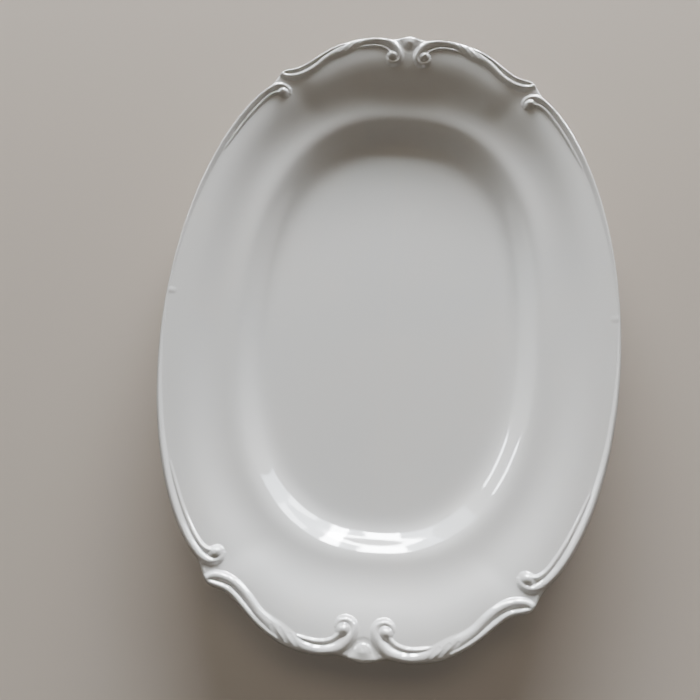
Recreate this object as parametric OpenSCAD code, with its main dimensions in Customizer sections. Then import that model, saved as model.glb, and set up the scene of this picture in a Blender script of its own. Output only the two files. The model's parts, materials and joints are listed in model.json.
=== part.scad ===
// Oval china serving platter with a four-lobed rim and scroll mouldings in relief.
// Long axis along Y, short axis along X, standing on its foot ring at Z = 0.
// All lengths are in millimetres.

/* [Overall size] */
// Length over the two end crests
platter_length = 360; // [330:5:400]
// Width across the two long sides
platter_width = 245; // [230:5:270]
// Mean height of the lip above the table
lip_height = 30; // [28:0.5:36]

/* [Well] */
// Length of the flat floor
floor_length = 210; // [204:1:216]
// Width of the flat floor
floor_width = 121; // [116:1:126]
// Length at the shoulder, where the well meets the rim
shoulder_length = 273; // [268:1:278]
// Width at the shoulder
shoulder_width = 175; // [171:1:179]
// Height of the shoulder above the table
shoulder_height = 18.5; // [17:0.5:20]
// Thickness of the floor
floor_thickness = 4; // [3.5:0.5:5]

/* [Rim] */
// Thickness of the wall at the shoulder
shoulder_thickness = 4.2; // [3.8:0.2:4.8]
// Thickness of the plain wall at the lip
lip_thickness = 3.2; // [2.8:0.2:3.8]
// Strength of the rim's double curve, from 0 for a straight rim
rim_curve = 1; // [0:0.1:1.2]

/* [Mouldings] */
// Scale of the relief's height
relief_scale = 1; // [0.5:0.1:1.3]
// Depth of the seat in the rim that each moulding is bedded in
seat_depth = 1.2; // [1:0.1:1.4]

/* [Foot ring] */
// Height of the foot ring
foot_height = 2.5; // [2:0.5:4]
// Width of the bearing face
foot_width = 4; // [3:0.5:5]

/* [Hidden] */

glaze_colour = "ivory";
biscuit_colour = "antiquewhite";

// The outline and the relief are drawn on a pattern of this size and scaled to the platter.
pattern_width = 245;
pattern_length = 360;
scale_x = platter_width / pattern_width;
scale_y = platter_length / pattern_length;

// Long side of the outline: an arc of an ellipse, up to the corner.
side_arc_width = 63;
side_arc_length = 151.5;
side_arc_end = 132;
side_columns = 12;

// End lobe of one quarter, from the corner to the crest: notch, tip, double curve, dip and crest.
lobe_knots = [
    [84.4, 138.7], [80.3, 144.2], [78.2, 148.2], [75.9, 151.4], [72, 153.2], [67, 154.5],
    [61, 158.7], [53, 165.7], [44, 172], [35, 176], [26, 178], [18, 178.4],
    [11, 177.7], [5.5, 178.9], [0, 180]
];
knot_columns = 3;
notch_column = side_columns + 3 * knot_columns + 1;
crest_columns = knot_columns + 1;

// Waves of the lip's height around the platter, for twice, four and six times the angle:
// the ends stand highest and the diagonals lowest.
lip_waves = [-1.8, 1.2, -0.3];

// Ovals are a little squarer than an ellipse, which has the power 2.
floor_power = 2.15;
shoulder_power = 2.5;

// Rows across the rim, from the shoulder (0) to the lip (1).
seam = 0.5;
flange_rows = 3;
border_rows = 11;
border_grading = 1.35;
crest_row = 6;

// Section of the well's cove: share of its width out from the floor, share of its rise.
cove_section = smooth([[0, 0], [0.2, 0.01], [0.4, 0.12], [0.6, 0.5], [0.8, 0.88], [1, 1]], 2);

// Section of the rim: share of its width out from the shoulder, share of its rise.
rim_section = smooth(
    [[0, 0], [0.15, 0.09], [0.3, 0.27], [0.5, 0.6], [0.7, 0.83], [0.85, 0.92], [1, 1]], 3
);

// Rows of the well's underside, and its flat beside the foot ring.
under_rows = 4;
foot_margin = 1.5;

// --- Curves -------------------------------------------------------------------------------

function mix(a, b, t) = a + (b - a) * t;

// Point at t between p1 and p2 on a smooth curve through p0, p1, p2 and p3.
function spline(p0, p1, p2, p3, t) = 0.5 * (
    2 * p1
    + (p2 - p0) * t
    + (2 * p0 - 5 * p1 + 4 * p2 - p3) * t * t
    + (3 * p1 - p0 - 3 * p2 + p3) * t * t * t
);

// The same curve through a whole list, with n pieces to each step and straight ends.
function smooth(list, n) = let (last = len(list) - 1) [
    for (i = [0:last - 1])
        for (j = [0:n - 1])
            spline(list[max(i - 1, 0)], list[i], list[i + 1], list[min(i + 2, last)], j / n),
    list[last]
];

function side_arc(y) =
    pattern_width / 2 - side_arc_width * (1 - sqrt(1 - pow(y / side_arc_length, 2)));

// --- Outline ------------------------------------------------------------------------------

// Outline of one quarter on the pattern, from the middle of the side to the crest.
side_points = [
    for (i = [0:side_columns - 1])
        let (y = side_arc_end * sin(90 * i / side_columns)) [side_arc(y), y]
];
corner_point = [side_arc(side_arc_end), side_arc_end];
lobe_path = concat([corner_point], lobe_knots);
last_knot = len(lobe_path) - 1;
mirrored_knot = [-lobe_path[last_knot - 1][0], lobe_path[last_knot - 1][1]];
lobe_points = [
    for (i = [0:last_knot - 1])
        for (j = [0:knot_columns - 1])
            spline(
                i == 0 ? side_points[side_columns - 2] : lobe_path[i - 1],
                lobe_path[i],
                lobe_path[i + 1],
                i == last_knot - 1 ? mirrored_knot : lobe_path[i + 2],
                j / knot_columns
            )
];
quarter = concat(side_points, lobe_points, [lobe_path[last_knot]]);
columns = len(quarter) - 1;
ring = 4 * columns;

// Column k of the whole ring, counted anticlockwise from the middle of the right side.
function turn(k) = (k + 2 * ring) % ring;
function fold(k) = let (m = turn(k) % (2 * columns)) m <= columns ? m : 2 * columns - m;
function sign_x(k) = turn(k) <= columns || turn(k) >= 3 * columns ? 1 : -1;
function sign_y(k) = turn(k) <= 2 * columns ? 1 : -1;
function lip_point(k) = let (p = quarter[fold(k)])
    [sign_x(k) * p[0] * scale_x, sign_y(k) * p[1] * scale_y];

// Angle of the column on every oval inside the outline.
function column_angle(k) = let (p = lip_point(k))
    atan2(p[1] / platter_length, p[0] / platter_width);
function oval(k, length, width, power) = let (
    a = column_angle(k),
    reach = pow(pow(abs(cos(a)), power) + pow(abs(sin(a)), power), -1 / power)
) [width / 2 * cos(a) * reach, length / 2 * sin(a) * reach];
function floor_oval(k, margin) =
    oval(k, floor_length + 2 * margin, floor_width + 2 * margin, floor_power);
function shoulder_oval(k) = oval(k, shoulder_length, shoulder_width, shoulder_power);

// --- Relief -------------------------------------------------------------------------------

// Each ridge is a list of [x, y, half width, height] on the pattern, for one quarter.
curve_steps = 3;

// Scroll: hooks round the tip, runs inside the lip, crosses to it and ends in the volute.
scroll_ridge = smooth([
    [75.8, 152, 1.8, 0.5], [76.6, 150.3, 2.2, 0.9], [75.2, 148.5, 2.5, 1.2], [72, 147.6, 2.7, 1.4],
    [68, 148, 2.8, 1.5], [64, 149.5, 2.8, 1.5], [60, 152.1, 2.7, 1.4], [55, 156.6, 2.7, 1.3],
    [50, 162, 2.9, 1.3], [45, 165.9, 3.4, 1.3], [40, 168.9, 4, 1.3], [35, 171.9, 4, 1.3],
    [30, 174.2, 3.4, 1.3], [25, 175.7, 2.9, 1.2], [20, 176.3, 2.8, 1.2], [15, 175.8, 2.9, 1.3],
    [11.5, 174.6, 3.1, 1.4], [8.6, 172.4, 3.3, 1.5], [6.2, 169.6, 3.3, 1.6], [5, 166.6, 3.1, 1.7],
    [5.4, 163.8, 2.9, 1.7], [7.4, 162.1, 2.7, 1.7], [10, 162, 2.4, 1.6], [11.8, 163.2, 2, 1.3]
], curve_steps);

// Eye of the volute.
volute_eye = [[9.4, 165.8, 3.5, 1.8], [10, 166, 3.5, 1.8]];

// Lip ridge outside the scroll, from the tip to the wrap.
lip_ridge = smooth([
    [76, 150.9, 2.2, 1], [74.6, 151, 2.3, 1], [71.4, 151.8, 2.4, 1], [66.8, 153, 2.4, 1],
    [60.7, 157.2, 2.4, 1], [52.7, 164.2, 2.4, 1], [44.8, 169.9, 2.3, 0.9], [40, 172.4, 2, 0.5]
], curve_steps);

// Thin ridge inside the scroll, from the wrap to the eye.
thin_ridge = smooth([
    [31, 170.9, 1.2, 0.4], [28, 171.6, 1.3, 0.7], [24, 172.3, 1.3, 0.8], [20, 172.4, 1.3, 0.8],
    [16, 171.6, 1.3, 0.8], [13.4, 170.2, 1.3, 0.8], [11.6, 168.4, 1.5, 0.9]
], curve_steps);

// Bead along the side: widens from the middle to the corner and curls in to a knob.
bead_step = 12;
bead_straight = 120;
bead_start = 0.8;
bead_inset_gain = 1.6;
bead_width_start = 0.9;
bead_width_gain = 1.6;
bead_height_start = 0.5;
bead_height_gain = 0.8;
side_bead = concat(
    [
        for (y = [0:bead_step:bead_straight]) let (u = y / bead_straight) [
            side_arc(y) - bead_start - bead_inset_gain * u,
            y,
            bead_width_start + bead_width_gain * u,
            bead_height_start + bead_height_gain * u
        ]
    ],
    smooth([
        [89, 130.4, 2.5, 1.3], [84.8, 135.4, 2.6, 1.4], [81, 138.9, 2.6, 1.4], [77.3, 140.9, 2.5, 1.4],
        [73.8, 140.9, 2.4, 1.4], [71.3, 139.1, 2.4, 1.4], [71, 136.8, 2.4, 1.4]
    ], curve_steps)
);

// Inner bead, from the knob back along the side.
inner_bead = smooth([
    [75.4, 135.6, 1.6, 1.1], [77.5, 135.9, 1.6, 1.1], [80.2, 134.8, 1.5, 1], [83.9, 131.4, 1.4, 0.9],
    [87.4, 126.6, 1.3, 0.8], [92, 119.4, 1.2, 0.7], [98.2, 107.5, 1.1, 0.5], [104, 95, 1, 0.3]
], curve_steps);

// Round knob in which the bead ends.
bead_knob = [[73.4, 136.2, 3.2, 1.9], [74, 136.4, 3.2, 1.9]];

// Small bud at the middle of the side.
side_bud = [[121, 0, 1.6, 0.5], [118.4, 0, 1.5, 0.4]];

// Crest: a round dome at the lip.
crest_dome = [[0, 177, 4.4, 1.3], [0, 178.8, 6, 1.4]];

// Height of a ridge over the point p.
function stroke_height(p, a, b) = let (
    start = [a[0], a[1]],
    run = [b[0] - a[0], b[1] - a[1]],
    t = min(1, max(0, (p - start) * run / (run * run))),
    q = min(1, norm(p - start - run * t) / mix(a[2], b[2], t))
) mix(a[3], b[3], t) * pow(1 - q * q, 2);
function ridge_height(p, ridge) =
    max([for (i = [0:len(ridge) - 2]) stroke_height(p, ridge[i], ridge[i + 1])]);
all_ridges = [
    scroll_ridge, volute_eye, lip_ridge, thin_ridge, side_bead, inner_bead, bead_knob, side_bud, crest_dome
];
function relief(x, y) = let (p = [abs(x) / scale_x, abs(y) / scale_y])
    relief_scale * max([for (ridge = all_ridges) ridge_height(p, ridge)]);

// --- Surfaces -----------------------------------------------------------------------------

floor_height = foot_height + floor_thickness;

function lip_z(k) = let (p = lip_point(k), a = atan2(p[1], p[0]))
    lip_height + lip_waves[0] * cos(2 * a) + lip_waves[1] * cos(4 * a) + lip_waves[2] * cos(6 * a);

// Plain upper surface of the rim at s, from the shoulder (0) to the lip (1): nearly level at the
// shoulder, steepest before the middle and easier again at the lip.
function rim_xy(k, s) = mix(shoulder_oval(k), lip_point(k), s);
function rim_share(s) = mix(s, lookup(s, rim_section), rim_curve);
function rim_z(k, s) = mix(shoulder_height, lip_z(k), rim_share(s));
function rim_top(k, s) = let (p = rim_xy(k, s)) [p[0], p[1], rim_z(k, s)];
function rim_under(k, s) = let (p = rim_xy(k, s))
    [p[0], p[1], rim_z(k, s) - mix(shoulder_thickness, lip_thickness, s)];
function seat(k, s) = let (p = rim_xy(k, s)) [p[0], p[1], rim_z(k, s) - seat_depth];
function moulded(k, s) = let (p = rim_xy(k, s)) [p[0], p[1], rim_z(k, s) + relief(p[0], p[1])];

function border_s(row) = 1 - (1 - seam) * pow(1 - row / border_rows, border_grading);

// Cove of the well, at one point of its section.
function cove_point(k, section) = let (p = mix(floor_oval(k, 0), shoulder_oval(k), section[0]))
    [p[0], p[1], mix(floor_height, shoulder_height, section[1])];

// Underside of the well, from the flat round the foot (0) to the shoulder (1).
function under_point(k, q) = let (
    p = mix(floor_oval(k, foot_width / 2 + foot_margin), shoulder_oval(k), q),
    top = shoulder_height - shoulder_thickness
) [p[0], p[1], mix(foot_height, top, q * q * (3 - 2 * q))];

// --- Meshes -------------------------------------------------------------------------------

// Triangles between the loops that start at a and b, with n points in each.
function band(a, b, n, closed) = [
    for (i = [0:closed ? n - 1 : n - 2])
        let (j = (i + 1) % n)
            each [[a + i, b + i, b + j], [a + i, b + j, a + j]]
];
function count_from(start, n) = [for (i = [0:n - 1]) start + i];
function reversed(list) = [for (i = [len(list) - 1:-1:0]) list[i]];

// Cross-section of a moulding at column k: top rows first to last, then the seat back again.
function section(k, first, last, seats) = concat(
    [for (row = [first:last]) moulded(k, border_s(row))],
    [for (row = seats) seat(k, border_s(row))]
);

// Solid through a list of cross-sections that all have n points.
module lofted(sections) {
    n = len(sections[0]);
    last = len(sections) - 1;
    polyhedron(
        points = [for (s = sections) each s],
        faces = concat(
            [count_from(0, n)],
            [for (i = [0:last - 1]) each band(n * i, n * (i + 1), n, true)],
            [reversed(count_from(n * last, n))]
        )
    );
}

// --- Sub-parts ----------------------------------------------------------------------------

// Dished centre: flat floor, cove and flat underside.
module well() {
    rows = concat(
        [for (section = cove_section) [for (k = [0:ring - 1]) cove_point(k, section)]],
        [for (q = [under_rows:-1:0]) [for (k = [0:ring - 1]) under_point(k, q / under_rows)]]
    );
    last = len(rows) - 1;
    color(glaze_colour)
        polyhedron(
            points = [for (r = rows) each r],
            faces = concat(
                [reversed(count_from(0, ring))],
                [for (i = [0:last - 1]) each band(ring * (i + 1), ring * i, ring, true)],
                [count_from(ring * last, ring)]
            )
        );
}

// Four-lobed rim, with the seat for the mouldings sunk in its outer half.
module rim() {
    rows = concat(
        [for (i = [0:flange_rows]) [for (k = [0:ring - 1]) rim_top(k, seam * i / flange_rows)]],
        [for (row = [0, crest_row, border_rows]) [for (k = [0:ring - 1]) seat(k, border_s(row))]],
        [for (s = [1, seam, 0]) [for (k = [0:ring - 1]) rim_under(k, s)]]
    );
    n = len(rows);
    color(glaze_colour)
        polyhedron(
            points = [for (r = rows) each r],
            faces = [for (i = [0:n - 1]) each band(ring * ((i + 1) % n), ring * i, ring, true)]
        );
}

// Oval foot ring with a flat bearing face.
module foot_ring() {
    color(biscuit_colour)
        linear_extrude(height = foot_height)
            difference() {
                polygon([for (k = [0:2:ring - 1]) floor_oval(k, foot_width / 2)]);
                polygon([for (k = [0:2:ring - 1]) floor_oval(k, -foot_width / 2)]);
            }
}

// Scroll of the far right quarter: the full border up to the crest, then the part inside the crest.
module scroll_quarter() {
    crest_edge = columns - crest_columns;
    full = [
        for (k = [notch_column:crest_edge])
            section(k, 0, border_rows, [border_rows, crest_row, 0])
    ];
    inner = [for (k = [crest_edge + 1:columns]) section(k, 0, crest_row, [crest_row, 0])];
    n = len(full[0]);
    m = len(inner[0]);
    full_end = n * (len(full) - 1);
    inner_start = n * len(full);
    inner_end = inner_start + m * (len(inner) - 1);
    // Points of the last full section that the first inner section continues from.
    shared = concat(count_from(full_end, crest_row + 1), [full_end + n - 2, full_end + n - 1]);
    crest_wall = count_from(full_end + crest_row, n - 1 - crest_row);
    color(glaze_colour)
        polyhedron(
            points = concat([for (s = full) each s], [for (s = inner) each s]),
            faces = concat(
                [count_from(0, n)],
                [for (i = [0:len(full) - 2]) each band(n * i, n * (i + 1), n, true)],
                [reversed(crest_wall)],
                [
                    for (i = [0:m - 1])
                        let (j = (i + 1) % m)
                            each [
                                [shared[i], inner_start + i, inner_start + j],
                                [shared[i], inner_start + j, shared[j]]
                            ]
                ],
                [
                    for (i = [0:len(inner) - 2])
                        each band(inner_start + m * i, inner_start + m * (i + 1), m, true)
                ],
                [reversed(count_from(inner_end, m))]
            )
        );
}

// Bead along the right side, from notch to notch.
module side_bead_to_notches() {
    color(glaze_colour)
        lofted([
            for (k = [-notch_column:notch_column])
                section(k, 0, border_rows, [border_rows, crest_row, 0])
        ]);
}

// Domed crest at the middle of the far end.
module crest_block() {
    color(glaze_colour)
        lofted([
            for (k = [columns - crest_columns:columns + crest_columns])
                section(k, crest_row, border_rows, [border_rows, crest_row])
        ]);
}

module scroll_far_right() { scroll_quarter(); }
module scroll_far_left() { mirror([1, 0, 0]) scroll_quarter(); }
module scroll_near_right() { mirror([0, 1, 0]) scroll_quarter(); }
module scroll_near_left() { mirror([1, 0, 0]) mirror([0, 1, 0]) scroll_quarter(); }
module side_bead_right() { side_bead_to_notches(); }
module side_bead_left() { mirror([1, 0, 0]) side_bead_to_notches(); }
module crest_far() { crest_block(); }
module crest_near() { mirror([0, 1, 0]) crest_block(); }

well();
rim();
foot_ring();
scroll_far_right();
scroll_far_left();
scroll_near_right();
scroll_near_left();
side_bead_right();
side_bead_left();
crest_far();
crest_near();
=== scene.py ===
"""Oval china serving platter: glazed porcelain with scroll mouldings, on a pale floor.

Lengths are in millimetres until a mesh is made, and the frame is the CAD model's:
X across, Y along the platter, Z up from the plane that it stands on.
"""
import json
import math

import bpy
import numpy as np
from mathutils import Matrix, Vector

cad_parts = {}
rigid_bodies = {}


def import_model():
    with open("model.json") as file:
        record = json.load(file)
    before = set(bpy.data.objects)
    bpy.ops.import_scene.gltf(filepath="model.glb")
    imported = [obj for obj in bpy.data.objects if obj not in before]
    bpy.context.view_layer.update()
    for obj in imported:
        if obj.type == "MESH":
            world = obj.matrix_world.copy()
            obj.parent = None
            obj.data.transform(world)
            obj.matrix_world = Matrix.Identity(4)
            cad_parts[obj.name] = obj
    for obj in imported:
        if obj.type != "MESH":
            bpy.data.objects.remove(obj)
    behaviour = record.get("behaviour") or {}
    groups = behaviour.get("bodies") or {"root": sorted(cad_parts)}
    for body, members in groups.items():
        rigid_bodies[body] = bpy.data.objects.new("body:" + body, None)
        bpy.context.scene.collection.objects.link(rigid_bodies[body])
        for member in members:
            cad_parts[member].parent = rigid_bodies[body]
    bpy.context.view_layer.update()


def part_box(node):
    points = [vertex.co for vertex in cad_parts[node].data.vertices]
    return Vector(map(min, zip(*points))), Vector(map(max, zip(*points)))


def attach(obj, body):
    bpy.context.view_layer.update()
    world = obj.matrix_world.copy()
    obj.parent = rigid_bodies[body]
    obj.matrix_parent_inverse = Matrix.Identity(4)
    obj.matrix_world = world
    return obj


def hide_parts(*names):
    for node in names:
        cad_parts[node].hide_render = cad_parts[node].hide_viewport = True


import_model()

MM = 0.001

# ---------------------------------------------------------------------------------------
# Driving dimensions, from the CAD model where it has them
# ---------------------------------------------------------------------------------------


def size_mm(node):
    low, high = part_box(node)
    return [(high[i] - low[i]) / MM for i in range(3)]


PLATTER_W, PLATTER_L = size_mm("rim")[:2]
SHOULDER_W, SHOULDER_L = size_mm("well")[:2]
FOOT_W, FOOT_L, FOOT_H = size_mm("foot_ring")
SHOULDER_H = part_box("well")[1][2] / MM

FOOT_FACE = 4.0  # width of the bearing face
FLOOR_W, FLOOR_L = FOOT_W - FOOT_FACE, FOOT_L - FOOT_FACE
FLOOR_T = 4.0
FLOOR_Z = FOOT_H + FLOOR_T
LIP_H = 30.0  # mean height of the lip
LIP_WAVES = {2: -1.8, 4: 1.2, 6: -0.3}  # its waves round the platter, by multiple of the angle
SHOULDER_T = 4.2
LIP_ROLL = 1.6  # radius of the lip's round edge, above and below
FOOT_MARGIN = 1.5  # the underside is flat out to here, from the outside of the foot ring
FLAT_MARGIN = 1.0  # and its outermost flat row lies here
FLOOR_POWER, SHOULDER_POWER = 2.15, 2.5  # ovals a little squarer than an ellipse
COVE_SECTION = [  # share of the cove's width out from the floor, share of its rise
    (0.0, 0.0), (0.2, 0.01), (0.4, 0.12), (0.6, 0.5), (0.8, 0.88), (1.0, 1.0),
]
RIM_SECTION = [  # share of the rim's width out from the shoulder, share of its rise
    (0.0, 0.0), (0.15, 0.09), (0.3, 0.27), (0.5, 0.6), (0.7, 0.83), (0.85, 0.92), (1.0, 1.0),
]
RIM_START = 0.4  # slope of that section at the shoulder
SEAM = 0.5  # where the mouldings' solids start, between the shoulder (0) and the lip (1)
SEAT = 1.2  # depth of the seat under them

PATTERN_W, PATTERN_L = 245.0, 360.0  # the outline and the relief are drawn at this size
SCALE = np.array([PLATTER_W / PATTERN_W, PLATTER_L / PATTERN_L])

# ---------------------------------------------------------------------------------------
# Curves
# ---------------------------------------------------------------------------------------


def cubic(values, knots, at, first=None, last=None):
    """Smooth curve through values at knots; its slope at the ends is given, or free where None."""
    n = len(knots)
    h = np.diff(knots)
    a = np.zeros((n, n))
    b = np.zeros(n)
    for i in range(1, n - 1):
        a[i, i - 1 : i + 2] = h[i - 1], 2 * (h[i - 1] + h[i]), h[i]
        b[i] = 6 * ((values[i + 1] - values[i]) / h[i] - (values[i] - values[i - 1]) / h[i - 1])
    a[0, 0] = a[-1, -1] = 1
    if first is not None:
        a[0, :2] = 2 * h[0], h[0]
        b[0] = 6 * ((values[1] - values[0]) / h[0] - first)
    if last is not None:
        a[-1, -2:] = h[-1], 2 * h[-1]
        b[-1] = 6 * (last - (values[-1] - values[-2]) / h[-1])
    m = np.linalg.solve(a, b)
    i = np.clip(np.searchsorted(knots, at) - 1, 0, n - 2)
    t0, t1, w = at - knots[i], knots[i + 1] - at, h[i]
    ends = m[i] * t1**3 / (6 * w) + m[i + 1] * t0**3 / (6 * w)
    return ends + (values[i] / w - m[i] * w / 6) * t1 + (values[i + 1] / w - m[i + 1] * w / 6) * t0


def along(points):
    """Distance along a polyline at each of its points."""
    return np.concatenate([[0], np.cumsum(np.hypot(*np.diff(points[:, :2], axis=0).T))])


def smooth_path(points, step, first=None, last=None):
    """Points every step or so on a smooth curve through rows of points."""
    points = np.array(points, float)
    knots = along(points)
    at = np.linspace(0, knots[-1], max(2, int(knots[-1] / step)) + 1)
    ends = [(None if first is None else first[i], None if last is None else last[i]) for i in range(2)]
    ends += [(None, None)] * (points.shape[1] - 2)
    return np.stack([cubic(points[:, i], knots, at, *ends[i]) for i in range(points.shape[1])], 1)


# ---------------------------------------------------------------------------------------
# Outline
# ---------------------------------------------------------------------------------------

SIDE_ARC_W, SIDE_ARC_L = 63.0, 151.5  # half axes of the ellipse whose arc is the long side
SIDE_END = 133.0  # the arc ends here along the platter, and the lobe starts
SIDE_POINTS, LOBE_STEP = 400, 0.1  # how finely it is drawn before the mesh's columns are picked
LOBE = [  # end lobe of one quarter: corner, notch, tip, double curve, dip and crest
    (84.3, 138.9), (81.1, 142.9), (79.4, 145.9), (77.9, 148.9), (76.1, 151.2), (73.0, 152.8),
    (68.8, 153.9), (65.0, 155.7), (60.0, 159.5), (52.0, 166.5), (44.0, 172.0), (35.0, 176.0),
    (26.5, 178.0), (18.5, 178.4), (11.0, 177.7), (5.6, 178.9), (0.0, 180.0),
]


def side_x(y):
    return PATTERN_W / 2 - SIDE_ARC_W * (1 - np.sqrt(1 - (y / SIDE_ARC_L) ** 2))


def quarter_outline():
    """Dense outline of one quarter on the pattern, from the middle of the side to the crest."""
    y = np.linspace(0, SIDE_END, SIDE_POINTS)
    side = np.stack([side_x(y), y], 1)
    tangent = side[-1] - side[-2]
    tangent /= np.hypot(*tangent)
    lobe = smooth_path([side[-1], *LOBE], LOBE_STEP, first=tangent, last=(-1.0, 0.0))
    return np.concatenate([side, lobe[1:]])


COARSE_STEP, FINE_STEP = 1.4, 0.45  # spacing of the mesh's columns on the side and on the relief
FINE_FROM = 112.0  # the fine columns start here along the side
FINE_BLEND = 12.0  # length over which one spacing changes to the other, in a logistic curve


def quarter_columns():
    """The outline's points at the mesh's columns."""
    outline = quarter_outline()
    length = along(outline)
    fine = 1 / (1 + np.exp(-(length - FINE_FROM) / FINE_BLEND * 4))
    rate = 1 / (COARSE_STEP + (FINE_STEP - COARSE_STEP) * fine)
    count = np.concatenate([[0], np.cumsum((rate[1:] + rate[:-1]) / 2 * np.diff(length))])
    n = int(round(count[-1]))
    at = np.interp(np.linspace(0, count[-1], n + 1), count, length)
    return np.stack([np.interp(at, length, outline[:, i]) for i in range(2)], 1)


QUARTER = quarter_columns()
N = len(QUARTER) - 1
RING = 4 * N


def whole_ring(quarter):
    """The quarter's points mirrored into the whole ring, anticlockwise from the right side."""
    right_far = quarter[:-1]
    left_far = (quarter * [-1, 1])[:0:-1]
    left_near = -quarter[:-1]
    right_near = (quarter * [1, -1])[:0:-1]
    return np.concatenate([right_far, left_far, left_near, right_near]) * SCALE


SMOOTHING_POINTS = 2048  # even spacing round the ring, for the smoothing


def ring_smooth(values, length, sigma):
    """Smooths values that run round the ring over a distance of sigma."""
    total = length[-1] + (length[-1] - length[-2])
    even = np.linspace(0, total, SMOOTHING_POINTS, endpoint=False)
    wave = np.fft.rfftfreq(SMOOTHING_POINTS, total / SMOOTHING_POINTS) * 2 * math.pi
    damp = np.exp(-0.5 * (wave * sigma) ** 2)
    out = []
    for i in range(values.shape[1]):
        wrapped = np.interp(even, np.append(length, total), np.append(values[:, i], values[0, i]))
        soft = np.fft.irfft(np.fft.rfft(wrapped) * damp, SMOOTHING_POINTS)
        out.append(np.interp(length, np.append(even, total), np.append(soft, soft[0])))
    return np.stack(out, 1)


LIP = whole_ring(QUARTER)
LIP_LENGTH = along(LIP)
LOBE_SOFTENING = 9.0  # inside the seam, the rim follows the lip smoothed over this distance
SOFT_LIP = ring_smooth(LIP, LIP_LENGTH, LOBE_SOFTENING)

_ahead, _behind = np.roll(LIP, -1, 0), np.roll(LIP, 1, 0)
LIP_TANGENT = (_ahead - _behind) / np.hypot(*(_ahead - _behind).T)[:, None]
LIP_NORMAL = np.stack([LIP_TANGENT[:, 1], -LIP_TANGENT[:, 0]], 1)

COLUMN_ANGLE = np.arctan2(LIP[:, 1] / PLATTER_L, LIP[:, 0] / PLATTER_W)
LIP_ANGLE = np.arctan2(LIP[:, 1], LIP[:, 0])
LIP_Z = LIP_H + sum(h * np.cos(n * LIP_ANGLE) for n, h in LIP_WAVES.items())


def oval(length, width, power=FLOOR_POWER):
    cos, sin = np.cos(COLUMN_ANGLE), np.sin(COLUMN_ANGLE)
    reach = (np.abs(cos) ** power + np.abs(sin) ** power) ** (-1 / power)
    return np.stack([width / 2 * cos * reach, length / 2 * sin * reach], 1)


SHOULDER = oval(SHOULDER_L, SHOULDER_W, SHOULDER_POWER)
REACH = ((LIP - SHOULDER) * LIP_NORMAL).sum(1)  # rim's width, square to the lip

# ---------------------------------------------------------------------------------------
# Relief
# ---------------------------------------------------------------------------------------

RIDGE_STEP = 0.8
# Each ridge is rows of (x, y, half width, height) on the pattern, for one quarter.
SCROLL = [
    (75.8, 152.0, 1.8, 0.6), (76.6, 150.3, 2.2, 1.0), (75.2, 148.5, 2.5, 1.3), (72.0, 147.6, 2.7, 1.5),
    (68.0, 148.0, 2.8, 1.6), (64.0, 149.5, 2.8, 1.6), (60.0, 152.1, 2.7, 1.5), (55.0, 156.6, 2.7, 1.4),
    (50.0, 162.0, 2.9, 1.4), (45.0, 165.9, 3.4, 1.4), (40.0, 168.9, 4.0, 1.4), (35.0, 171.9, 4.0, 1.4),
    (30.0, 174.2, 3.4, 1.4), (25.0, 175.7, 2.9, 1.3), (20.0, 176.3, 2.8, 1.3), (15.0, 175.8, 2.9, 1.4),
    (11.5, 174.6, 3.1, 1.5), (8.6, 172.4, 3.2, 1.6), (6.2, 169.6, 3.0, 1.7), (5.0, 166.6, 2.6, 1.7),
    (5.4, 163.8, 2.4, 1.6), (7.4, 162.1, 2.2, 1.5), (10.0, 161.8, 2.1, 1.4), (12.1, 163.0, 1.9, 1.1),
    (12.9, 164.9, 1.6, 0.6),
]
EYE = [(9.4, 166.0, 3.8, 2.3), (10.0, 166.2, 3.8, 2.3)]
LIP_RIDGE = [
    (76.0, 150.9, 2.2, 1.1), (74.6, 151.0, 2.3, 1.1), (71.4, 151.8, 2.4, 1.1), (66.8, 153.0, 2.4, 1.1),
    (60.7, 157.2, 2.4, 1.1), (52.7, 164.2, 2.4, 1.1), (44.8, 169.9, 2.3, 1.0), (40.0, 172.4, 2.0, 0.6),
]
THIN_RIDGE = [
    (31.0, 170.9, 1.2, 0.4), (28.0, 171.6, 1.3, 0.8), (24.0, 172.3, 1.3, 0.9), (20.0, 172.4, 1.3, 0.9),
    (16.0, 171.6, 1.3, 0.9), (13.4, 170.2, 1.3, 0.9), (11.6, 168.4, 1.5, 1.0),
]
CURL = [
    (89.0, 130.4, 2.5, 1.4), (84.8, 135.4, 2.6, 1.5), (81.0, 138.9, 2.6, 1.5), (77.3, 140.9, 2.5, 1.5),
    (73.8, 140.9, 2.3, 1.5), (71.4, 139.3, 2.1, 1.3), (70.8, 137.0, 1.8, 0.8),
]
INNER_BEAD = [
    (75.4, 135.6, 1.6, 1.2), (77.5, 135.9, 1.6, 1.2), (80.2, 134.8, 1.5, 1.1), (83.9, 131.4, 1.4, 1.0),
    (87.4, 126.6, 1.3, 0.9), (92.0, 119.4, 1.2, 0.8), (98.2, 107.5, 1.1, 0.6), (104.0, 95.0, 1.0, 0.3),
]
KNOB = [(73.6, 136.7, 4.0, 2.3), (74.2, 136.9, 4.0, 2.3)]
BUD = [(121.0, 0.0, 1.6, 0.5), (118.4, 0.0, 1.5, 0.4)]
CREST = [(0.0, 175.6, 4.8, 1.6), (0.0, 178.8, 7.0, 0.8)]
WRAP_STROKES = [
    [(29.0, 176.4), (31.5, 173.2), (34.0, 170.6)],
    [(33.0, 175.2), (36.0, 172.0), (38.6, 168.6)],
    [(37.2, 173.6), (40.0, 170.8), (42.6, 167.6)],
]
STROKE_W, STROKE_DEPTH = 1.3, 0.22
DIMPLE = [(0.0, 173.6, 1.0, 0.12), (0.0, 174.0, 1.0, 0.12)]  # pressed in at the crest's point
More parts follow.
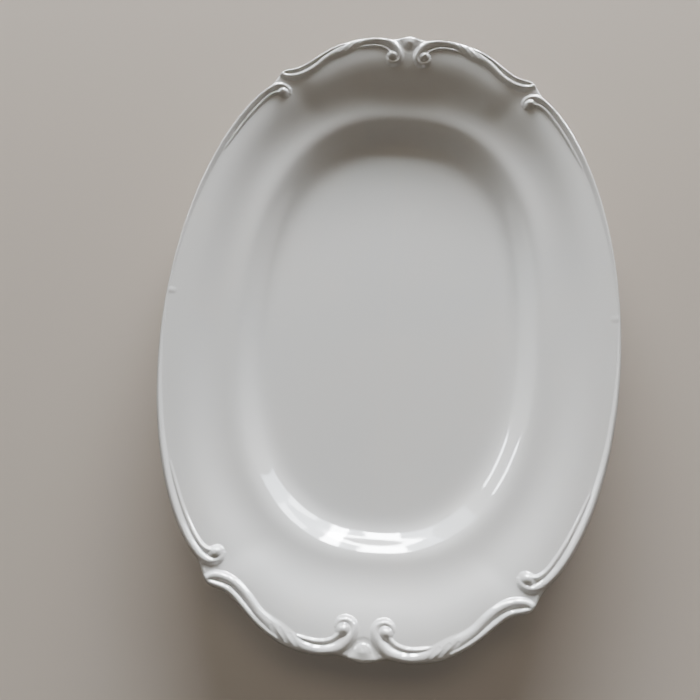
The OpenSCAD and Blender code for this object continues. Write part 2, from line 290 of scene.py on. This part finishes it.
CREST_GROOVE = [(6.6, 177.6), (4.6, 173.2), (2.4, 170.8), (0.0, 170.0)]  # round the crest
GROOVE_W, GROOVE_DEPTH = 1.6, 0.3
UNION_POWER = 5.0  # how sharply ridges that overlap meet; higher is sharper
RIDGE_ROUNDNESS = 1.6  # power of a ridge's section; higher is narrower at the top

BEAD_END, BEAD_POINTS = 122, 14  # straight part of the side bead, before the curl
BEAD_TAPER = 120  # over this length, each value below grows by its second number
BEAD_INSET, BEAD_W, BEAD_H = (0.8, 1.6), (0.9, 1.6), (0.5, 0.9)  # from the lip, half width, height


def side_bead():
    """Bead along the side, which widens towards the corner, joined to the curl."""
    y = np.linspace(0, BEAD_END, BEAD_POINTS)
    inset, half_w, height = (a + b * y / BEAD_TAPER for a, b in (BEAD_INSET, BEAD_W, BEAD_H))
    straight = np.stack([side_x(y) - inset, y, half_w, height], 1)
    return smooth_path([*straight, *CURL], RIDGE_STEP)


def ridge_height(points, path):
    """Height of a ridge at each point: a soft round section across the path."""
    best = np.full(len(points), np.inf)
    height = np.zeros(len(points))
    for a, b in zip(path[:-1], path[1:]):
        run = b[:2] - a[:2]
        t = np.clip((points - a[:2]) @ run / (run @ run), 0, 1)
        gap = np.hypot(*(points - a[:2] - t[:, None] * run).T)
        q = gap / (a[2] + (b[2] - a[2]) * t)
        closer = q < best
        best = np.where(closer, q, best)
        height = np.where(closer, a[3] + (b[3] - a[3]) * t, height)
    return height * np.clip(1 - best**2, 0, None) ** RIDGE_ROUNDNESS


def groove(points, width, depth):
    """Rows like a ridge's, of one half width and depth all along a path."""
    return np.array([(*p, width, depth) for p in smooth_path(points, RIDGE_STEP)])


RIDGES = [smooth_path(path, RIDGE_STEP) for path in (SCROLL, LIP_RIDGE, THIN_RIDGE, INNER_BEAD)]
RIDGES += [side_bead(), *(np.array(path) for path in (EYE, KNOB, BUD, CREST))]
HOLLOWS = [groove(stroke, STROKE_W, STROKE_DEPTH) for stroke in WRAP_STROKES]
HOLLOWS += [groove(CREST_GROOVE, GROOVE_W, GROOVE_DEPTH), np.array(DIMPLE)]


def relief(x, y):
    """Height of the mouldings above the plain rim."""
    points = np.stack([np.abs(x).ravel() / SCALE[0], np.abs(y).ravel() / SCALE[1]], 1)
    heights = [ridge_height(points, path) for path in RIDGES]
    total = sum(h**UNION_POWER for h in heights) ** (1 / UNION_POWER)
    total -= sum(ridge_height(points, path) for path in HOLLOWS)
    return total.reshape(x.shape)


# ---------------------------------------------------------------------------------------
# Master surface: one closed profile from the middle of the floor round to the underside
# ---------------------------------------------------------------------------------------


def rim_xy(s):
    """Place on every column at s (a number, or one for each column)."""
    s = np.broadcast_to(s, RING)[:, None]
    outer = np.clip((s - SEAM) / (1 - SEAM), 0, 1)
    pull = outer * outer * (3 - 2 * outer)
    return SHOULDER + s * (SOFT_LIP - SHOULDER) + pull * (LIP - SOFT_LIP)


RIM_KNOTS, COVE_KNOTS = np.array(RIM_SECTION), np.array(COVE_SECTION)
VALLEY_INNER = 58.0  # degrees from the side, at the shoulder
VALLEY_TURN = -5.0  # change of that angle from the shoulder to the lip
VALLEY_SPREAD, VALLEY_DROP = 3.2, 0.65  # degrees to either side, and depth where it is deepest
VALLEY_REACH = 0.9  # it fades out at this share of the way to the lip


def lobe_valley(s):
    """Depth of the soft valley that runs in from each notch, between the side and the end lobe."""
    angle = np.degrees(np.arctan2(np.abs(np.sin(COLUMN_ANGLE)), np.abs(np.cos(COLUMN_ANGLE))))
    off = (angle - VALLEY_INNER - VALLEY_TURN * s) / VALLEY_SPREAD
    fade = np.sin(math.pi * np.clip(s / VALLEY_REACH, 0, 1)) ** 2
    return VALLEY_DROP * np.exp(-(off**2)) * fade


def rim_z(s):
    s = np.broadcast_to(s, RING)
    share = cubic(RIM_KNOTS[:, 1], RIM_KNOTS[:, 0], s, first=RIM_START)
    return SHOULDER_H + (LIP_Z - SHOULDER_H) * share - lobe_valley(s)


def row(xy, z):
    return np.concatenate([xy, np.broadcast_to(z, RING)[:, None]], 1)


def cove_row(q):
    """Cove of the well: level where it meets the floor, and as steep as the rim at the shoulder."""
    inner = oval(FLOOR_L, FLOOR_W)
    rise = SHOULDER_H - FLOOR_Z
    rim_slope = RIM_START * (LIP_Z - SHOULDER_H) / np.hypot(*(SOFT_LIP - SHOULDER).T)
    last = rim_slope * np.hypot(*(SHOULDER - inner).T) / rise
    share = cubic(COVE_KNOTS[:, 1], COVE_KNOTS[:, 0], np.array([q]), first=0.0, last=last.mean())[0]
    return row(inner + q * (SHOULDER - inner), FLOOR_Z + rise * share)


def under_row(q):
    """Underside of the well, from the flat round the foot (0) to the shoulder (1)."""
    inner = oval(FOOT_L + 2 * FOOT_MARGIN, FOOT_W + 2 * FOOT_MARGIN)
    top = SHOULDER_H - SHOULDER_T
    return row(inner + q * (SHOULDER - inner), FOOT_H + (top - FOOT_H) * q * q * (3 - 2 * q))


FLOOR_ROWS, COVE_ROWS, FLANGE_ROWS = 8, 32, 18
BORDER_ROWS, ROLL_ROWS = 62, 6
UNDER_ROWS, UNDER_COVE_ROWS = 14, 8
BORDER_GRADING = 1.35  # the border's rows crowd towards the lip; 1 spaces them evenly
CENTRE_SHARE = 0.06  # size of the oval round the middle of the floor and of the flat below


def master_rows():
    """Rows of the closed surface, and the index of the row that ends each stretch."""
    rows, marks, s_of_row = [], {}, {}
    for f in np.linspace(CENTRE_SHARE, 1, FLOOR_ROWS, endpoint=False):
        rows.append(row(oval(FLOOR_L * f, FLOOR_W * f), FLOOR_Z))
    rows += [cove_row(q) for q in np.linspace(0, 1, COVE_ROWS + 1)]
    marks["shoulder"] = len(rows) - 1
    rows += [row(rim_xy(s), rim_z(s)) for s in np.linspace(0, SEAM, FLANGE_ROWS + 1)[1:]]
    marks["seam"] = len(rows) - 1
    s_of_row[len(rows) - 1] = np.full(RING, SEAM)
    roll_s = 1 - LIP_ROLL / REACH
    for g in np.linspace(0, 1, BORDER_ROWS + 1)[1:]:
        s = SEAM + (roll_s - SEAM) * (1 - (1 - g) ** BORDER_GRADING)
        xy = rim_xy(s)
        rows.append(row(xy, rim_z(s) + relief(xy[:, 0], xy[:, 1])))
        s_of_row[len(rows) - 1] = s
    for angle in np.linspace(0, math.pi / 2, ROLL_ROWS + 1)[1:]:
        s = 1 - LIP_ROLL * (1 - math.sin(angle)) / REACH
        xy = rim_xy(s)
        drop = LIP_ROLL * (1 - math.cos(angle))
        rows.append(row(xy, rim_z(s) + relief(xy[:, 0], xy[:, 1]) * math.cos(angle) - drop))
        s_of_row[len(rows) - 1] = s
    marks["edge"] = len(rows) - 1
    for angle in np.linspace(0, math.pi / 2, ROLL_ROWS + 1)[1:]:
        s = 1 - LIP_ROLL * (1 - math.cos(angle)) / REACH
        rows.append(row(rim_xy(s), rim_z(s) - LIP_ROLL * (1 + math.sin(angle))))
    for g in np.linspace(0, 1, UNDER_ROWS + 1)[1:]:
        s = roll_s * (1 - g)
        thickness = SHOULDER_T + (2 * LIP_ROLL - SHOULDER_T) * s
        rows.append(row(rim_xy(s), rim_z(s) - thickness))
    marks["under_shoulder"] = len(rows) - 1
    rows += [under_row(1 - q) for q in np.linspace(0, 1, UNDER_COVE_ROWS + 1)[1:]]
    flat_l, flat_w = FOOT_L + 2 * FLAT_MARGIN, FOOT_W + 2 * FLAT_MARGIN
    for f in np.linspace(1, CENTRE_SHARE, FLOOR_ROWS):
        rows.append(row(oval(flat_l * f, flat_w * f), FOOT_H))
    return np.stack(rows), marks, s_of_row


ROWS, MARK, S_OF_ROW = master_rows()


def surface_normals(grid):
    """Unit normals of the master surface, pointing out of the china."""
    across = np.gradient(grid, axis=0)
    round_ = np.roll(grid, -1, 1) - np.roll(grid, 1, 1)
    normal = np.cross(across, round_)
    return normal / np.maximum(np.linalg.norm(normal, axis=2, keepdims=True), 1e-12)


NORMALS = surface_normals(ROWS)


# ---------------------------------------------------------------------------------------
# Pieces cut from the master surface
# ---------------------------------------------------------------------------------------

SEAM_ROW, EDGE_ROW = MARK["seam"], MARK["edge"]
CREST_DEPTH = 8.0  # the crest's solid reaches this far in from the lip
CREST_ROW = int(np.argmin(np.abs(ROWS[: EDGE_ROW + 1, N, 1] - (PLATTER_L / 2 - CREST_DEPTH))))
SEAT_STEP = 10  # the seat has one row for so many rows of the surface
SEAT_ROWS = sorted({*range(SEAM_ROW, EDGE_ROW, SEAT_STEP), CREST_ROW, EDGE_ROW})


def nearest_column(x, y):
    """Column of the first quarter whose lip point is nearest to a point of the pattern."""
    return int(np.argmin(np.hypot(*(QUARTER - (x, y)).T)))


NOTCH_COL = nearest_column(77.5, 149.4)  # where the side bead ends and the scroll starts
CREST_COL = nearest_column(7.3, 178.4)  # where the scroll ends and the crest starts


def seat_row(r):
    depth = SEAT + (LIP_ROLL - SEAT) * (S_OF_ROW[r] - SEAM) / (1 - SEAM)
    return row(ROWS[r, :, :2], rim_z(S_OF_ROW[r]) - depth)


SEATS = {r: seat_row(r) for r in SEAT_ROWS[:-1]}


class Solid:
    """Points and faces of one piece. Glazed faces carry the master surface's normals."""

    def __init__(self):
        self.points = []
        self.faces = []
        self.normals = []
        self.known = {}

    def ids(self, kind, r, cols):
        """Numbers of the points of row r at the given columns, on the surface or the seat."""
        if kind == "seat" and r == EDGE_ROW:
            kind = "top"
        source = ROWS[r] if kind == "top" else SEATS[r]
        out = []
        for c in cols:
            key = (kind, r, c % RING)
            if key not in self.known:
                self.known[key] = len(self.points)
                self.points.append(source[c % RING])
            out.append(self.known[key])
        return np.array(out)

    def strip(self, a, b, normals=None):
        """Quads from row a of point numbers to row b, with outward normals where glazed."""
        quads = np.stack([a[:-1], b[:-1], b[1:], a[1:]], 1)
        self.faces += quads.tolist()
        if normals is None:
            self.normals += [None] * len(quads)
        else:
            na, nb = normals
            self.normals += list(np.stack([na[:-1], nb[:-1], nb[1:], na[1:]], 1))

    def surface(self, first, last, cols):
        """The master surface itself between two rows."""
        wrapped = np.array(cols) % RING
        for r in range(first, last):
            self.strip(
                self.ids("top", r, cols),
                self.ids("top", r + 1, cols),
                (NORMALS[r, wrapped], NORMALS[r + 1, wrapped]),
            )

    def polygon(self, loop):
        self.faces.append([int(i) for i in loop])
        self.normals.append(None)

    def build(self, name, material):
        mesh = bpy.data.meshes.new(name)
        mesh.from_pydata((np.array(self.points) * MM).tolist(), [], self.faces)
        mesh.update()
        mesh.shade_smooth()
        mesh.polygons.foreach_set("use_smooth", [n is not None for n in self.normals])
        corner = []
        for face, normals in zip(mesh.polygons, self.normals):
            corner += [(0, 0, 0)] * face.loop_total if normals is None else normals.tolist()
        mesh.normals_split_custom_set(corner)
        mesh.materials.append(material)
        piece = bpy.data.objects.new(name, mesh)
        bpy.context.scene.collection.objects.link(piece)
        return piece


def seats_between(first, last):
    return [r for r in SEAT_ROWS if first <= r <= last]


def end_wall(solid, column, first, last, forward):
    """Flat wall across a moulding at one column, from the surface down to the seat."""
    top = [solid.ids("top", r, [column])[0] for r in range(first, last + 1)]
    seat = [solid.ids("seat", r, [column])[0] for r in seats_between(first, last)]
    if last == EDGE_ROW:
        seat = seat[:-1]
    loop = top + seat[::-1]
    solid.polygon(loop if forward else loop[::-1])


def moulding(name, blocks, material):
    """Solid between the master surface and the seat, over blocks of (columns, first row, last row).

    Each block is a run of columns from an inner row to an outer one; a later block may be shorter
    than the one that it joins on to.
    """
    solid = Solid()
    for c0, c1, first, last in blocks:
        cols = list(range(c0, c1 + 1))
        solid.surface(first, last, cols)
        rows = seats_between(first, last)
        for outer, inner in zip(rows[:0:-1], rows[-2::-1]):
            solid.strip(solid.ids("seat", outer, cols), solid.ids("seat", inner, cols))
        solid.strip(solid.ids("seat", first, cols), solid.ids("top", first, cols))
        if last != EDGE_ROW:
            solid.strip(solid.ids("top", last, cols), solid.ids("seat", last, cols))
    for i, (c0, c1, first, last) in enumerate(blocks):
        before = blocks[i - 1] if i > 0 and blocks[i - 1][1] == c0 else None
        after = blocks[i + 1] if i + 1 < len(blocks) and blocks[i + 1][0] == c1 else None
        if before is None:
            end_wall(solid, c0, first, last, True)
        elif before[3] < last:
            end_wall(solid, c0, before[3], last, True)
        if after is None:
            end_wall(solid, c1, first, last, False)
        elif after[3] < last:
            end_wall(solid, c1, after[3], last, False)
    return solid.build(name, material)


def fan(solid, ring_ids, centre, upward):
    """Triangles from a ring of points to a middle point."""
    middle = len(solid.points)
    solid.points.append(np.array(centre))
    normal = np.array([0, 0, 1.0 if upward else -1.0])
    for a, b in zip(ring_ids[:-1], ring_ids[1:]):
        solid.faces.append([int(middle), int(a), int(b)] if upward else [int(middle), int(b), int(a)])
        solid.normals.append(np.tile(normal, (3, 1)))


def make_well(material):
    solid = Solid()
    cols = list(range(RING + 1))
    shoulder, under, last = MARK["shoulder"], MARK["under_shoulder"], len(ROWS) - 1
    solid.surface(0, shoulder, cols)
    solid.strip(solid.ids("top", shoulder, cols), solid.ids("top", under, cols))
    solid.surface(under, last, cols)
    fan(solid, solid.ids("top", 0, cols), (0, 0, FLOOR_Z), True)
    fan(solid, solid.ids("top", last, cols), (0, 0, FOOT_H), False)
    return solid.build("glazed_well", material)


def make_rim(material):
    solid = Solid()
    cols = list(range(RING + 1))
    shoulder, under = MARK["shoulder"], MARK["under_shoulder"]
    solid.surface(shoulder, SEAM_ROW, cols)
    solid.strip(solid.ids("top", SEAM_ROW, cols), solid.ids("seat", SEAM_ROW, cols))
    for inner, outer in zip(SEAT_ROWS[:-1], SEAT_ROWS[1:]):
        solid.strip(solid.ids("seat", inner, cols), solid.ids("seat", outer, cols))
    solid.surface(EDGE_ROW, under, cols)
    solid.strip(solid.ids("top", under, cols), solid.ids("top", shoulder, cols))
    return solid.build("glazed_rim", material)


def ring_quads(rings, count, closed=False):
    """Quads between rings of count points each; closed joins the last ring to the first."""
    faces = []
    for i in range(rings if closed else rings - 1):
        this, following = i * count, (i + 1) % rings * count
        for j in range(count):
            k = (j + 1) % count
            faces.append((this + j, this + k, following + k, following + j))
    return faces


FOOT_CORNER = [(0.0, FOOT_H), (0.15, 1.2), (0.3, 0.5), (0.6, 0.12), (1.0, 0.0)]  # inset, height
FOOT_COLUMN_STEP = 4  # the foot ring has one column for so many of the lip's


def make_foot_ring(material):
    """Foot ring: flat bearing face, slightly sloping sides and rounded corners."""
    half = FOOT_FACE / 2
    profile = [(-half + inset, z) for inset, z in FOOT_CORNER]  # outwards from the ring's middle
    profile += [(half - inset, z) for inset, z in reversed(FOOT_CORNER)]
    middle_w, middle_l = FOOT_W - FOOT_FACE, FOOT_L - FOOT_FACE
    rings = []
    for out, z in profile:
        xy = oval(middle_l + 2 * out, middle_w + 2 * out)[::FOOT_COLUMN_STEP]
        rings.append(np.concatenate([xy, np.full((len(xy), 1), z)], 1))
    points = np.concatenate(rings) * MM
    faces = ring_quads(len(rings), len(rings[0]), closed=True)
    mesh = bpy.data.meshes.new("foot_ring_edge")
    mesh.from_pydata(points.tolist(), [], faces)
    mesh.update()
    mesh.shade_smooth()
    mesh.materials.append(material)
    piece = bpy.data.objects.new("foot_ring_edge", mesh)
    bpy.context.scene.collection.objects.link(piece)
    return piece


# ---------------------------------------------------------------------------------------
# Materials
# ---------------------------------------------------------------------------------------


class Nodes:
    """Short ways to add and join a material's nodes."""

    def __init__(self, name):
        self.material = bpy.data.materials.new(name)
        self.material.use_nodes = True
        self.tree = self.material.node_tree
        self.shader = self.tree.nodes["Principled BSDF"]
        self.place = self.tree.nodes.new("ShaderNodeTexCoord").outputs["Object"]

    def join(self, source, target):
        self.tree.links.new(source, target)

    def noise(self, wavelength, detail=2.0, roughness=0.5, stretch=(1, 1, 1)):
        """Noise from 0 to 1 whose bumps are about a wavelength apart, in millimetres."""
        mapping = self.tree.nodes.new("ShaderNodeMapping")
        mapping.inputs["Scale"].default_value = stretch
        self.join(self.place, mapping.inputs["Vector"])
        node = self.tree.nodes.new("ShaderNodeTexNoise")
        node.inputs["Scale"].default_value = 1 / (wavelength * MM)
        node.inputs["Detail"].default_value = detail
        node.inputs["Roughness"].default_value = roughness
        self.join(mapping.outputs["Vector"], node.inputs["Vector"])
        return node.outputs["Fac"]

    def ramp(self, value, low, high, to_low=0.0, to_high=1.0):
        node = self.tree.nodes.new("ShaderNodeMapRange")
        node.interpolation_type = "SMOOTHSTEP"
        limits = {"From Min": low, "From Max": high, "To Min": to_low, "To Max": to_high}
        for name, number in limits.items():
            node.inputs[name].default_value = number
        self.join(value, node.inputs["Value"])
        return node.outputs["Result"]

    def maths(self, operation, a, b):
        node = self.tree.nodes.new("ShaderNodeMath")
        node.operation = operation
        for socket, value in zip(node.inputs, (a, b)):
            if isinstance(value, (int, float)):
                socket.default_value = value
            else:
                self.join(value, socket)
        return node.outputs["Value"]

    def mix(self, share, a, b):
        """Colour from a to b by share; a and b are colours or sockets."""
        node = self.tree.nodes.new("ShaderNodeMix")
        node.data_type = "RGBA"
        self.join(share, node.inputs["Factor"])
        for name, value in (("A", a), ("B", b)):
            socket = [i for i in node.inputs if i.name == name and i.type == "RGBA"][0]
            if isinstance(value, tuple):
                socket.default_value = (*value, 1)
            else:
                self.join(value, socket)
        return [o for o in node.outputs if o.type == "RGBA"][0]

    def bump(self, height, depth, below=None):
        """Bump of a depth in millimetres, over another bump where one is given."""
        node = self.tree.nodes.new("ShaderNodeBump")
        node.inputs["Strength"].default_value = 1.0
        node.inputs["Distance"].default_value = depth * MM
        self.join(height, node.inputs["Height"])
        if below is not None:
            self.join(below, node.inputs["Normal"])
        return node.outputs["Normal"]

    def specks(self, spacing, radius, share):
        """Round spots on a share of cells, as 1 inside a spot."""
        cells = self.tree.nodes.new("ShaderNodeTexVoronoi")
        cells.inputs["Scale"].default_value = 1 / (spacing * MM)
        self.join(self.place, cells.inputs["Vector"])
        split = self.tree.nodes.new("ShaderNodeSeparateColor")
        self.join(cells.outputs["Color"], split.inputs["Color"])
        chosen = self.maths("GREATER_THAN", split.outputs["Red"], 1 - share)
        reach = radius / spacing
        spot = self.ramp(cells.outputs["Distance"], reach * 0.6, reach, 1.0, 0.0)
        return self.maths("MULTIPLY", chosen, spot)


WHITE, COOL, WARM = (0.785, 0.785, 0.772), (0.76, 0.77, 0.765), (0.8, 0.79, 0.765)
PINHOLE = (0.3, 0.27, 0.23)
RUN_X, RUN_W = -1.0, 2.6  # faint line of thicker glaze along the middle of the floor
GLAZE_IOR = 1.5
COOL_PATCH, WARM_PATCH = 95, 38  # wavelengths of the glaze's drifts of colour
SHEEN_PATCH, SHEEN_LOW, SHEEN_HIGH = 24, 0.045, 0.085  # wavelength and range of its roughness
FLOW_L, FLOW_DEPTH = 26, 0.05  # slow waves left where the glaze ran
RIPPLE_L, RIPPLE_DEPTH = 7, 0.004  # and the finer ripple over them
PINHOLE_SPACING, PINHOLE_R, PINHOLE_SHARE, PIT_DEPTH = 21, 0.34, 0.07, 0.03


def porcelain():
    """White china under a clear, slightly uneven glaze."""
    n = Nodes("glazed_porcelain")
    n.shader.inputs["IOR"].default_value = GLAZE_IOR
    colour = n.mix(n.ramp(n.noise(COOL_PATCH), 0.35, 0.65), COOL, WHITE)
    colour = n.mix(n.ramp(n.noise(WARM_PATCH, detail=3), 0.5, 0.8, 0.0, 0.6), colour, WARM)
    axes = n.tree.nodes.new("ShaderNodeSeparateXYZ")
    n.join(n.place, axes.inputs["Vector"])
    aside = n.maths("ABSOLUTE", n.maths("SUBTRACT", axes.outputs["X"], RUN_X * MM), 0.0)
    on_floor = n.ramp(axes.outputs["Z"], (FLOOR_Z + 0.05) * MM, (FLOOR_Z + 0.4) * MM, 1.0, 0.0)
    run = n.maths("MULTIPLY", n.ramp(aside, 0.0, RUN_W / 2 * MM, 0.35, 0.0), on_floor)
    colour = n.mix(run, colour, WARM)
    pinholes = n.specks(PINHOLE_SPACING, PINHOLE_R, PINHOLE_SHARE)
    colour = n.mix(n.maths("MULTIPLY", pinholes, 0.7), colour, PINHOLE)
    n.join(colour, n.shader.inputs["Base Color"])
    unevenness = n.noise(SHEEN_PATCH, detail=4, roughness=0.6)
    sheen = n.ramp(unevenness, 0.3, 0.75, SHEEN_LOW, SHEEN_HIGH)
    n.join(sheen, n.shader.inputs["Roughness"])
    flow = n.bump(n.noise(FLOW_L, detail=1), FLOW_DEPTH)
    ripple = n.bump(n.noise(RIPPLE_L, detail=2), RIPPLE_DEPTH, below=flow)
    pits = n.bump(n.maths("SUBTRACT", 1.0, pinholes), PIT_DEPTH, below=ripple)
    n.join(pits, n.shader.inputs["Normal"])
    return n.material


CLAY, CLAY_DARK, WORN = (0.72, 0.68, 0.6), (0.6, 0.55, 0.47), (0.42, 0.39, 0.35)


def biscuit():
    """Unglazed foot: fine matt clay with a grain, greyed where it has rubbed on tables."""
    n = Nodes("unglazed_foot")
    colour = n.mix(n.ramp(n.noise(6, detail=4), 0.35, 0.7), CLAY, CLAY_DARK)
    scuffs = n.ramp(n.noise(3.5, detail=5, roughness=0.7, stretch=(1, 0.4, 1)), 0.56, 0.72, 0.0, 0.55)
    colour = n.mix(scuffs, colour, WORN)
    n.join(colour, n.shader.inputs["Base Color"])
    n.join(n.ramp(n.noise(2.2, detail=3), 0.3, 0.7, 0.7, 0.9), n.shader.inputs["Roughness"])
    n.join(n.bump(n.noise(0.5, detail=3, roughness=0.7), 0.03), n.shader.inputs["Normal"])
    return n.material


# ---------------------------------------------------------------------------------------
# The platter
# ---------------------------------------------------------------------------------------

glaze, foot_clay = porcelain(), biscuit()


def add(piece, node):
    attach(piece, "root")
    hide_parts(node)


add(make_well(glaze), "well")
add(make_rim(glaze), "rim")
add(make_foot_ring(foot_clay), "foot_ring")

for end, base in (("far", 0), ("near", 2 * N)):
    sides = ("right", "left") if end == "far" else ("left", "right")
    first = [
        (base + NOTCH_COL, base + CREST_COL, SEAM_ROW, EDGE_ROW),
        (base + CREST_COL, base + N, SEAM_ROW, CREST_ROW),
    ]
    second = [
        (base + N, base + 2 * N - CREST_COL, SEAM_ROW, CREST_ROW),
        (base + 2 * N - CREST_COL, base + 2 * N - NOTCH_COL, SEAM_ROW, EDGE_ROW),
    ]
    for side, blocks in zip(sides, (first, second)):
        node = f"scroll_{end}_{side}"
        add(moulding(f"moulded_{node}", blocks, glaze), node)
    crest = [(base + CREST_COL, base + 2 * N - CREST_COL, CREST_ROW, EDGE_ROW)]
    add(moulding(f"moulded_crest_{end}", crest, glaze), f"crest_{end}")
for side, middle in (("right", 0), ("left", 2 * N)):
    bead = [(middle - NOTCH_COL, middle + NOTCH_COL, SEAM_ROW, EDGE_ROW)]
    add(moulding(f"moulded_side_bead_{side}", bead, glaze), f"side_bead_{side}")

# ---------------------------------------------------------------------------------------
# Stage, light and camera
# ---------------------------------------------------------------------------------------


BACKDROP_R = 6.0  # metres
DOME_RINGS, DOME_COLUMNS = 12, 48
LIT_R, PLAIN_R = 0.7, 1.5  # metres: the floor passes from lit to plain backdrop between these
FLOOR_COLOUR, BACKDROP_COLOUR = (0.45, 0.405, 0.355), (0.45, 0.42, 0.38)
ROOM_COLOUR, ROOM_STRENGTH = (1.0, 0.8, 0.6), 0.02
SHADOW_FILL = 0.15  # faint glow of the floor, in place of the room's light inside the shadow


def staged(name, points, faces, material):
    mesh = bpy.data.meshes.new(name)
    mesh.from_pydata(points, [], faces)
    mesh.materials.append(material)
    mesh.shade_smooth()
    piece = bpy.data.objects.new(name, mesh)
    bpy.context.scene.collection.objects.link(piece)
    return piece


def backdrop_light(n):
    light = n.tree.nodes.new("ShaderNodeEmission")
    light.inputs["Color"].default_value = (*BACKDROP_COLOUR, 1)
    return light.outputs["Emission"]


def make_floor():
    """Pale matt floor, which turns into the plain backdrop away from the platter."""
    n = Nodes("floor")
    n.shader.inputs["Base Color"].default_value = (*FLOOR_COLOUR, 1)
    n.shader.inputs["Roughness"].default_value = 0.9
    n.shader.inputs["Specular IOR Level"].default_value = 0.0
    n.shader.inputs["Emission Color"].default_value = (*FLOOR_COLOUR, 1)
    n.shader.inputs["Emission Strength"].default_value = SHADOW_FILL
    reach = n.tree.nodes.new("ShaderNodeVectorMath")
    reach.operation = "LENGTH"
    n.join(n.place, reach.inputs["Vector"])
    blend = n.tree.nodes.new("ShaderNodeMixShader")
    n.join(n.ramp(reach.outputs["Value"], LIT_R, PLAIN_R), blend.inputs["Fac"])
    n.join(n.shader.outputs["BSDF"], blend.inputs[1])
    n.join(backdrop_light(n), blend.inputs[2])
    n.join(blend.outputs["Shader"], n.tree.nodes["Material Output"].inputs["Surface"])
    r = BACKDROP_R
    staged("floor", [(-r, -r, 0), (r, -r, 0), (r, r, 0), (-r, r, 0)], [(0, 1, 2, 3)], n.material)


def make_backdrop():
    """Plain dome behind the floor. It is only seen: it neither lights nor shades the platter."""
    n = Nodes("backdrop")
    n.join(backdrop_light(n), n.tree.nodes["Material Output"].inputs["Surface"])
    points = []
    for rise in np.linspace(0, math.pi / 2, DOME_RINGS + 1):
        flat, z = BACKDROP_R * math.cos(rise), BACKDROP_R * math.sin(rise)
        for j in range(DOME_COLUMNS):
            turn = 2 * math.pi * j / DOME_COLUMNS
            points.append((flat * math.cos(turn), flat * math.sin(turn), z))
    dome = staged("backdrop", points, ring_quads(DOME_RINGS + 1, DOME_COLUMNS), n.material)
    dome.visible_diffuse = dome.visible_glossy = dome.visible_shadow = False
    dome.visible_transmission = dome.visible_volume_scatter = False


def lamp(name, azimuth, elevation, radiance, diffuse=True, glossy=True, distance=2.0):
    """Rectangular lamp facing the platter.

    Azimuth (from +Y towards +X) and elevation are the two edges of the lamp, in degrees.
    Radiance is red, green and blue. A lamp that isn't diffuse is only seen in reflections, and
    one that isn't glossy only lights matt shading.
    """
    a, e = math.radians(sum(azimuth) / 2), math.radians(sum(elevation) / 2)
    way = Vector((math.sin(a) * math.cos(e), math.cos(a) * math.cos(e), math.sin(e)))
    data = bpy.data.lights.new(name, "AREA")
    data.shape = "RECTANGLE"
    data.size = 2 * distance * math.cos(e) * math.tan(math.radians(azimuth[1] - azimuth[0]) / 2)
    data.size_y = 2 * distance * math.tan(math.radians(elevation[1] - elevation[0]) / 2)
    top = max(radiance)
    data.energy = math.pi * data.size * data.size_y * top
    data.color = [c / top for c in radiance]
    light = bpy.data.objects.new(name, data)
    light.location = way * distance
    light.rotation_euler = (-way).to_track_quat("-Z", "Y").to_euler()
    light.visible_diffuse = diffuse
    light.visible_glossy = glossy
    bpy.context.scene.collection.objects.link(light)


CAMERA_AT = (7.0, -176.5, 409.5)
CAMERA_TILT, CAMERA_HEADING = 21.6, 9.9  # degrees from straight down, and left of +Y
CAMERA_ROLL = 5.2  # degrees clockwise
FOCAL_LENGTH, SENSOR = 40.0, 36.0


def turned(degrees, axis):
    return Matrix.Rotation(math.radians(degrees), 3, axis)


def make_camera():
    data = bpy.data.cameras.new("camera")
    data.sensor_width = SENSOR
    data.lens = FOCAL_LENGTH
    camera = bpy.data.objects.new("camera", data)
    bpy.context.scene.collection.objects.link(camera)
    bpy.context.scene.camera = camera
    camera.location = Vector(CAMERA_AT) * MM
    turn = turned(CAMERA_HEADING, "Z") @ turned(CAMERA_TILT, "X") @ turned(-CAMERA_ROLL, "Z")
    camera.rotation_euler = turn.to_euler()


make_floor()
make_backdrop()
make_camera()
# The strengths of these four lamps started from a scratch fit to the photograph.
lamp("window_low", (-25, 25), (12, 20), (52, 52, 53.5), glossy=False)
lamp("window_high", (-25, 25), (20, 28), (21, 22, 22.5), glossy=False)
lamp("side", (-70, -30), (8, 32), (1.36, 1.45, 1.42))
lamp("ceiling", (-60, 60), (65, 85), (1.8, 1.55, 1.25), glossy=False)
# These are seen in the glaze only.
lamp("sheen", (-20, 42), (1, 25), (20, 22, 24), diffuse=False)
lamp("sheen_left", (-36, -20), (1, 25), (8, 9, 10), diffuse=False)
lamp("pane_right", (5, 11), (1, 24), (200, 205, 210), diffuse=False)
lamp("pane_left", (-8, 0), (7, 25), (200, 205, 210), diffuse=False)
lamp("pane_side", (-56, -44), (17, 21), (60, 64, 68), diffuse=False)
lamp("sill", (-28, 42), (0.5, 7.5), (130, 134, 138), diffuse=False)
lamp("glow", (18, 32), (14, 24), (30, 31, 32), diffuse=False)
SOFTBOXES = {"softbox_right": (45, 135), "softbox_near": (135, 225), "softbox_left": (-135, -45)}
for name, azimuth in SOFTBOXES.items():
    lamp(name, azimuth, (4, 30), (1.6, 1.6, 1.6), diffuse=False)
world = bpy.data.worlds.new("room")
bpy.context.scene.world = world
world.use_nodes = True
room_light = world.node_tree.nodes["Background"]
room_light.inputs["Color"].default_value = (*ROOM_COLOUR, 1)
room_light.inputs["Strength"].default_value = ROOM_STRENGTH
